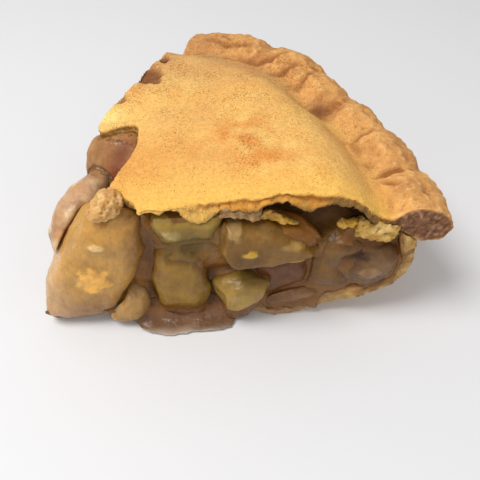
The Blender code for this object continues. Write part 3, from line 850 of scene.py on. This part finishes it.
def make_bit(node, code, slope, seed):
    """A bit of broken crust, craggy all over, with painted shade in its hollows."""
    obj = joined_copy(node + "_crumb", [node])
    even_skin(obj, BIT_GRID, 2)
    mesh = obj.data
    points, normals = arrays(mesh)
    lift = relief(points, (0.0007, 0.0045, seed), (0.0004, 0.0018, seed + 1))
    lift -= 0.0006 * smooth(0.10, 0.60, ripple(points, 0.0016, seed + 2))
    lift += 0.0003 * ripple(points, 0.0009, seed + 5)
    moved = points + normals * lift[:, None]
    moved[:, 2] -= slope * np.maximum(depth_from(points, "front"), 0)
    place_points(mesh, moved)
    tone = coats(
        plain(points, code),
        ("e6c488", 0.1 + 0.8 * ripple(points, 0.0030, seed + 3)),
        ("b88444", smooth(0.05, 0.5, ripple(points, 0.0034, seed + 4)) * 0.7),
        # painted shade in the bit's hollows
        ("94703e", smooth(0.00005, 0.0004, -standing_out(mesh, 8)) * 0.7),
    )
    paint(mesh, tone)
    place_piece(obj, CRUMB, "crust_crumb", node)


def make_flake(name, middle, half, turn, code, seed):
    """A loose ragged flake of crust near the front cut: middle and half sizes in mm, turned a little."""
    bpy.ops.mesh.primitive_cube_add(size=2, location=(0, 0, 0))
    obj = bpy.context.object
    obj.name = name
    obj.data.transform(Matrix.Diagonal((*[size * 0.001 for size in half], 1)))
    obj.data.transform(Matrix.Rotation(math.radians(turn), 4, "Y"))
    along, depth, height = [value * 0.001 for value in middle]
    obj.data.transform(Matrix.Translation(Vector(APEX) + Vector((along, depth, height))))
    even_skin(obj, BIT_GRID, 8)
    mesh = obj.data
    points, normals = arrays(mesh)
    lift = relief(points, (0.0009, 0.0040, seed), (0.0008, 0.0018, seed + 1), (0.00035, 0.0009, seed + 2))
    place_points(mesh, points + normals * lift[:, None])
    tone = coat(plain(points, code), "d8b880", 0.1 + 1.1 * ripple(points, 0.0026, seed + 3))
    tone = coat(tone, "7e5a38", smooth(0.0, 0.5, ripple(points, 0.0030, seed + 4)) * 0.8)
    paint(mesh, tone)
    place_piece(obj, CRUMB, "crust_crumb")


# Filling


def pooled_and_shaded(points, colours, share):
    """Colours mixed towards those of the pools of syrup and the painted shade in the gaps on the front cut, by
    a share at each point.
    """
    for along, height, wide, tall, _, code in SYRUP_POOLS_AND_SHADE:
        colours = coat(colours, code, share * 0.92 * near_place(points, (along, height), (wide, tall)))
    return colours


def syrup_tone(points):
    """The colour of the syrup: brown with its pools and painted shade in the gaps, dull towards the plate and
    on its top inside.
    """
    front, back = depth_from(points, "front"), depth_from(points, "back")
    radius, _ = polar(points)
    tone = plain(points, "7e501c")
    tone = coat(tone, "94662c", 0.3 + 0.9 * ripple(points, 0.008, 73))
    tone = coat(tone, "90664a", 0.8 * (1 - smooth(0.001, 0.006, points[:, 2])))
    tone = pooled_and_shaded(points, tone, np.ones(len(points)))
    in_notch = (1 - smooth(0.044, 0.052, radius)) * smooth(0.008, 0.014, front)
    deep = smooth(0.0040, 0.0110, np.minimum(front, back))
    return coat(tone, "926c4a", deep * (1 - in_notch) * 0.9)


def make_syrup():
    """The syrup: one skin over the syrup and every apple piece, nearly flush with their faces."""
    obj = joined_copy("apple_syrup_body", ["filling", *APPLES])
    swell = obj.modifiers.new("Swell", "DISPLACE")
    swell.direction = "NORMAL"
    swell.mid_level = 0
    swell.strength = SYRUP_SWELL
    even_skin(obj, SYRUP_GRID, 10)
    keep_largest(obj.data)
    mesh = obj.data
    points, normals = arrays(mesh)
    at_cut = np.zeros(len(points))
    for cut, (_, inward) in CUTS.items():
        facing = smooth(0.05, 0.5, -(normals @ inward))
        at_cut = np.maximum(at_cut, facing * (1 - smooth(0.008, 0.016, depth_from(points, cut))))

    # It is drawn back past its old skin at the cuts, more at the tip and in the notch, just to it in the puddle
    outside = (depth_from(points, "front") < -0.0004) & (points[:, 2] < 0.006)
    upward = smooth(0.2, 0.7, normals[:, 2])
    drawn = SYRUP_SWELL + SYRUP_SINK * at_cut - 0.0008 * (1 - at_cut) * (1 - upward)
    radius, _ = polar(points)
    drawn += (0.0014 * (1 - at_cut)) * (1 - smooth(0.044, 0.052, radius))
    drawn += 0.0020 * at_cut * (1 - smooth(0.026, 0.034, radius))
    drawn -= 0.0003 * at_cut * smooth(0.080, 0.090, radius)
    drawn = np.where(outside, SYRUP_SWELL, drawn)
    waves = relief(points, (0.00034, 0.0065, 71), (0.00014, 0.0024, 72))
    moved = points - normals * (drawn - waves * at_cut)[:, None]
    sunk = np.zeros(len(points))
    for along, height, wide, tall, depth, _ in SYRUP_POOLS_AND_SHADE:
        sunk += depth * 0.001 * near_place(points, (along, height), (wide, tall))
    moved += INTO_FRONT * (sunk * at_cut)[:, None]
    near_front = bell(np.maximum(depth_from(points, "front"), 0), 0.0040)
    under_lid = smooth(0.0390, 0.0430, points[:, 2]) * near_front
    moved += INTO_FRONT * (0.0030 * under_lid)[:, None]

    # The puddle runs out to a thin film on the plate
    reach = -depth_from(moved, "front") + 0.0009 * ripple(moved, 0.0045, 75)
    profile = np.array(PUDDLE_FILM) * 0.001
    film = np.interp(reach, profile[:, 0], profile[:, 1])
    low = (1 - smooth(0.009, 0.014, moved[:, 2])) * smooth(0.030, 0.037, along_cut(moved, "front"))
    flat = moved[:, 2] * film / np.hypot(moved[:, 2], film)
    moved[:, 2] += (flat - moved[:, 2]) * low
    moved[:, 2] = np.maximum(moved[:, 2], 0.00005)
    place_points(mesh, moved)
    points, _ = arrays(mesh)
    front = depth_from(points, "front")
    tone = syrup_tone(points)
    # painted shade in the syrup's crevices
    tone = coat(tone, "3e2614", smooth(0.0002, 0.0009, -standing_out(mesh, 12)) * 0.6)
    spilt = smooth(0.0012, -0.0010, front) * (1 - smooth(0.004, 0.009, points[:, 2]))
    tone = coat(tone, "765338", spilt)
    thin = smooth(-0.0030, -0.0078, front + 0.0012 * ripple(points, 0.004, 74))
    tone = coat(tone, "c8b09c", spilt * thin * 0.92)
    paint(mesh, tone)
    place_piece(obj, SYRUP, "syrup", "filling")
    return obj


def dabbed(points, colours):
    """The dabs on the apple: how far they stand out at each point, and colours with theirs laid on."""
    rise = np.zeros(len(points))
    for along, height, wide, tall, proud, code in DABS:
        ragged = 1 + 0.55 * ripple(points, 0.0026, along) + 0.35 * ripple(points, 0.0011, height)
        close = near_place(points, (along, height), (wide * 1.15, tall * 1.15))
        near = smooth(0.30, 0.62, close * ragged)
        rise += proud * 0.001 * near * (0.8 + 0.5 * ripple(points, 0.0012, 3.3 * along))
        colours = coat(colours, code, near * (0.85 + 0.5 * ripple(points, 0.0020, 1.7 * along)))
    return rise, colours


def make_apple(node, flesh, patch, stain_depth, stand, edge, syrup, seed):
    """A cooked apple piece: a soft pillow at the cut, stained where it dips into the syrup."""
    obj = joined_copy(node + "_flesh", [node])
    even_skin(obj, APPLE_GRID, 8 if edge < 2 else 34)
    mesh = obj.data
    points, normals = arrays(mesh)
    sides = surface_of(node, lambda middle, normal: not faces_cut(middle, normal, 0.0060))
    pillow = smooth(0.0, 0.001 * edge, distances(sides, points))
    lift = relief(points, (0.00060, 0.0085, seed), (0.00028, 0.0036, seed + 1), (0.00009, 0.0014, seed + 2))
    moved = points + normals * lift[:, None]
    rise, _ = dabbed(points, plain(points, flesh))
    for cut, (_, inward) in CUTS.items():
        facing = smooth(0.2, 0.8, -(normals @ inward))
        facing = eased(mesh, facing * (1 - smooth(0.004, 0.008, depth_from(points, cut))), 6)[:, 0]
        out = 0.001 * stand * pillow - 0.0003 * (1 - pillow) + (rise if cut == "front" else 0)
        moved -= inward * (out * facing)[:, None]
    if node == "apple_centre":
        top = smooth(0.024, 0.038, moved[:, 2])
        moved[:, 2] -= top * (0.6 * np.maximum(depth_from(moved, "front"), 0))
        moved[:, 2] -= 0.0035 * top * smooth(0.066, 0.082, along_cut(moved, "front"))
    moved[:, 2] = np.maximum(moved[:, 2], 0.0002)
    place_points(mesh, moved)
    points, _ = arrays(mesh)
    tone = plain(points, flesh)
    tone = coat(tone, patch, smooth(-0.6, 0.6, ripple(points, 0.0095, seed + 3)) * 0.9)
    if node == "apple_tip":
        along = along_cut(points, "front")
        wavy_height = points[:, 2] + 0.002 * ripple(points, 0.006, 5)
        tone = coats(
            tone,
            # darker towards the bottom
            ("80604e", 0.85 * (1 - smooth(0.002, 0.019, wavy_height))),
            # painted shade along the right end of the tip piece
            ("8a6034", 0.75 * smooth(0.026, 0.034, along)),
            ("dcb488", 0.5 * (1 - smooth(0.004, 0.013, along))),
        )
        mark(mesh, "dust", 0.07 * smooth(0.014, 0.030, points[:, 2]))
    if node == "apple_tip_side":
        tone = coat(tone, "dcc498", smooth(0.1, 0.6, ripple(points, 0.0040, 9)) * 0.7)
        tone = coat(tone, "8e6238", smooth(0.0, 0.5, ripple(points, 0.0062, 11)) * 0.6)
    if node == "apple_side_bulge":
        middle, (right, ahead), (length, width) = BULGE_STREAK
        spread = points[:, :2] - middle
        streak = np.hypot(spread @ (right, ahead) / length, spread @ (ahead, -right) / width)
        tone = coat(tone, "8e4c34", 0.85 * bell(streak, 1.0))
    _, tone = dabbed(points, tone)

    # It takes the colour of the syrup where it stands little above it, apart from the dry tip; just above the
    # syrup it is mixed towards the syrup pools and painted shade of the front cut and darkened as painted shade
    height = np.empty(len(points))
    for number, point in enumerate(points.tolist()):
        spot, facing, _, _ = syrup.find_nearest(point)
        height[number] = (Vector(point) - spot).dot(facing)
    wet = smooth(0.026, 0.036, polar(points)[0])
    stain = 1 - smooth(0.0, 0.0012 * stain_depth, height + 0.0003 * ripple(points, 0.0040, seed + 4))
    stain *= (1 - smooth(0.75, 1.0, pillow)) * wet
    tone += (syrup_tone(points) - tone) * (0.92 * stain)[:, None]
    # painted shade just above the syrup
    low = (1 - smooth(0.0, 0.0016, height)) * wet
    tone = pooled_and_shaded(points, tone, 0.4 * low) * (1 - 0.25 * low)[:, None]
    paint(mesh, tone)
    place_piece(obj, APPLE, "apple", node)
    return obj


# Scattered grains


def scatter_tree(name, material, mask, flatness):
    """Grains strewn over a skin where its mask is high, with named inputs for their sizes and number."""
    tree = bpy.data.node_groups.new(name, "GeometryNodeTree")
    face = tree.interface
    face.new_socket("Geometry", in_out="INPUT", socket_type="NodeSocketGeometry")
    for label, kind in (("Density", "Float"), ("Grain Size", "Float"), ("Seed", "Int")):
        face.new_socket(label, in_out="INPUT", socket_type="NodeSocket" + kind)
    face.new_socket("Geometry", in_out="OUTPUT", socket_type="NodeSocketGeometry")
    new, link = tree.nodes.new, tree.links.new
    given, result = new("NodeGroupInput"), new("NodeGroupOutput")
    masked = new("GeometryNodeInputNamedAttribute")
    masked.data_type = "FLOAT"
    masked.inputs["Name"].default_value = mask
    density = new("ShaderNodeMath")
    density.operation = "MULTIPLY"
    link(masked.outputs[0], density.inputs[0])
    link(given.outputs["Density"], density.inputs[1])
    spread = new("GeometryNodeDistributePointsOnFaces")
    link(given.outputs["Geometry"], spread.inputs["Mesh"])
    link(density.outputs[0], spread.inputs["Density"])
    link(given.outputs["Seed"], spread.inputs["Seed"])
    grain = new("GeometryNodeMeshIcoSphere")
    grain.inputs["Subdivisions"].default_value = 1
    link(given.outputs["Grain Size"], grain.inputs["Radius"])
    sizes = new("FunctionNodeRandomValue")
    sizes.data_type = "FLOAT_VECTOR"
    sizes.inputs[0].default_value = (0.5, 0.5, 0.5 * flatness)
    sizes.inputs[1].default_value = (1.5, 1.3, 1.2 * flatness)
    link(given.outputs["Seed"], sizes.inputs["Seed"])
    strew = new("GeometryNodeInstanceOnPoints")
    link(spread.outputs["Points"], strew.inputs["Points"])
    link(grain.outputs["Mesh"], strew.inputs["Instance"])
    link(spread.outputs["Rotation"], strew.inputs["Rotation"])
    link(sizes.outputs[0], strew.inputs["Scale"])
    turns = new("FunctionNodeRandomValue")
    turns.data_type = "FLOAT_VECTOR"
    tilt = 3.1 if flatness > 0.6 else 0.35
    turns.inputs[0].default_value = (-tilt, -tilt, -3.1)
    turns.inputs[1].default_value = (tilt, tilt, 3.1)
    link(given.outputs["Seed"], turns.inputs["Seed"])
    turn = new("GeometryNodeRotateInstances")
    link(strew.outputs["Instances"], turn.inputs["Instances"])
    link(turns.outputs[0], turn.inputs["Rotation"])
    real = new("GeometryNodeRealizeInstances")
    link(turn.outputs["Instances"], real.inputs["Geometry"])
    finished = new("GeometryNodeSetMaterial")
    finished.inputs["Material"].default_value = material
    link(real.outputs["Geometry"], finished.inputs["Geometry"])
    link(finished.outputs["Geometry"], result.inputs["Geometry"])
    return tree


def strewn(name, base, tree, density, grain_size, seed):
    """An object with the grains that a tree strews over a base piece."""
    obj = bpy.data.objects.new(name, base.data.copy())
    bpy.context.scene.collection.objects.link(obj)
    step = obj.modifiers.new("Strew", "NODES")
    step.node_group = tree
    values = {"Density": density, "Grain Size": grain_size, "Seed": seed}
    for socket in tree.interface.items_tree:
        if socket.in_out == "INPUT" and socket.name in values:
            step[socket.identifier] = values[socket.name]
    settle(obj)
    return obj


def tone_grains(obj, code, other, seed):
    """Paints grains in two colours that run into each other."""
    points, _ = arrays(obj.data)
    paint(obj.data, coat(plain(points, code), other, 0.5 + 1.2 * ripple(points, 0.0025, seed)))


lid = make_lid()
bottom = make_bottom()
for place, (node, look) in enumerate(CRUST_BITS.items()):
    make_bit(node, *look, 80 + 10 * place)
for place, look in enumerate(FLAKES):
    make_flake(*look, 300 + 10 * place)
syrup = make_syrup()
syrup_skin = BVHTree.FromPolygons(
    [vertex.co for vertex in syrup.data.vertices],
    [tuple(face.vertices) for face in syrup.data.polygons],
)
flesh = {}
for place, (node, look) in enumerate(APPLES.items()):
    flesh[node] = make_apple(node, *look, syrup_skin, 120 + 9 * place)

dusting = scatter_tree("dusting", CINNAMON, "dust", 0.35)
dusted = (("cinnamon_specks", lid, "lid_crust"), ("tip_specks", flesh["apple_tip"], "apple"))
for name, base, slot in dusted:
    specks = strewn(name, base, dusting, SPECKS, SPECK_SIZE, 4)
    place_piece(specks, CINNAMON, slot)
crumb_tree = scatter_tree("loose_crumbs", CRUMB, "crumbs", 0.8)
shedding = (("lid_crumbs", lid, LID_CRUMBS, 7), ("bottom_crumbs", bottom, BOTTOM_CRUMBS, 9))
for name, base, density, seed in shedding:
    crumbs = strewn(name, base, crumb_tree, density, CRUMB_SIZE, seed)
    tone_grains(crumbs, "e2bd74", "c08a48", seed)
    place_piece(crumbs, CRUMB, "crust_crumb")


# Floor, light and camera


def make_floor():
    bpy.ops.mesh.primitive_plane_add(size=3.0, location=(0, 0, -0.0003))
    floor = bpy.context.object
    floor.name = "pale_floor"
    material = bpy.data.materials.new(floor.name)
    material.use_nodes = True
    shader = material.node_tree.nodes["Principled BSDF"]
    shader.inputs["Base Color"].default_value = (0.77, 0.79, 0.85, 1)
    shader.inputs["Roughness"].default_value = 0.6
    floor.data.materials.append(material)


def soft_light(name, place, target, size, power):
    light = bpy.data.lights.new(name, "AREA")
    light.shape = "DISK"
    light.size = size
    light.energy = power
    light.color = (1.0, 0.97, 0.91)
    lamp = bpy.data.objects.new(name, light)
    lamp.location = place
    lamp.rotation_euler = (Vector(target) - Vector(place)).to_track_quat("-Z", "Y").to_euler()
    bpy.context.scene.collection.objects.link(lamp)


def make_light():
    world = bpy.data.worlds.new("soft_room")
    world.use_nodes = True
    glow = world.node_tree.nodes["Background"]
    glow.inputs["Color"].default_value = (1.0, 0.975, 0.92, 1)
    glow.inputs["Strength"].default_value = 0.49
    bpy.context.scene.world = world
    soft_light("overhead", (-0.32, -0.13, 0.72), (0, 0, 0.02), 0.40, 4.4)
    soft_light("front_fill", (-0.10, -0.75, 0.50), (0, 0, 0.02), 0.6, 1.0)
    bpy.context.scene.view_settings.view_transform = "Standard"


def make_camera():
    data = bpy.data.cameras.new("camera")
    data.sensor_width = 36
    data.lens = CAMERA_LENS
    data.clip_start = 0.005
    camera = bpy.data.objects.new("camera", data)
    heading, down = math.radians(CAMERA_HEADING), math.radians(CAMERA_TILT)
    level = math.cos(down)
    look = Vector((math.sin(heading) * level, math.cos(heading) * level, -math.sin(down)))
    camera.location = CAMERA_PLACE
    camera.rotation_euler = look.to_track_quat("-Z", "Y").to_euler()
    bpy.context.scene.collection.objects.link(camera)
    bpy.context.scene.camera = camera


make_floor()
make_light()
make_camera()
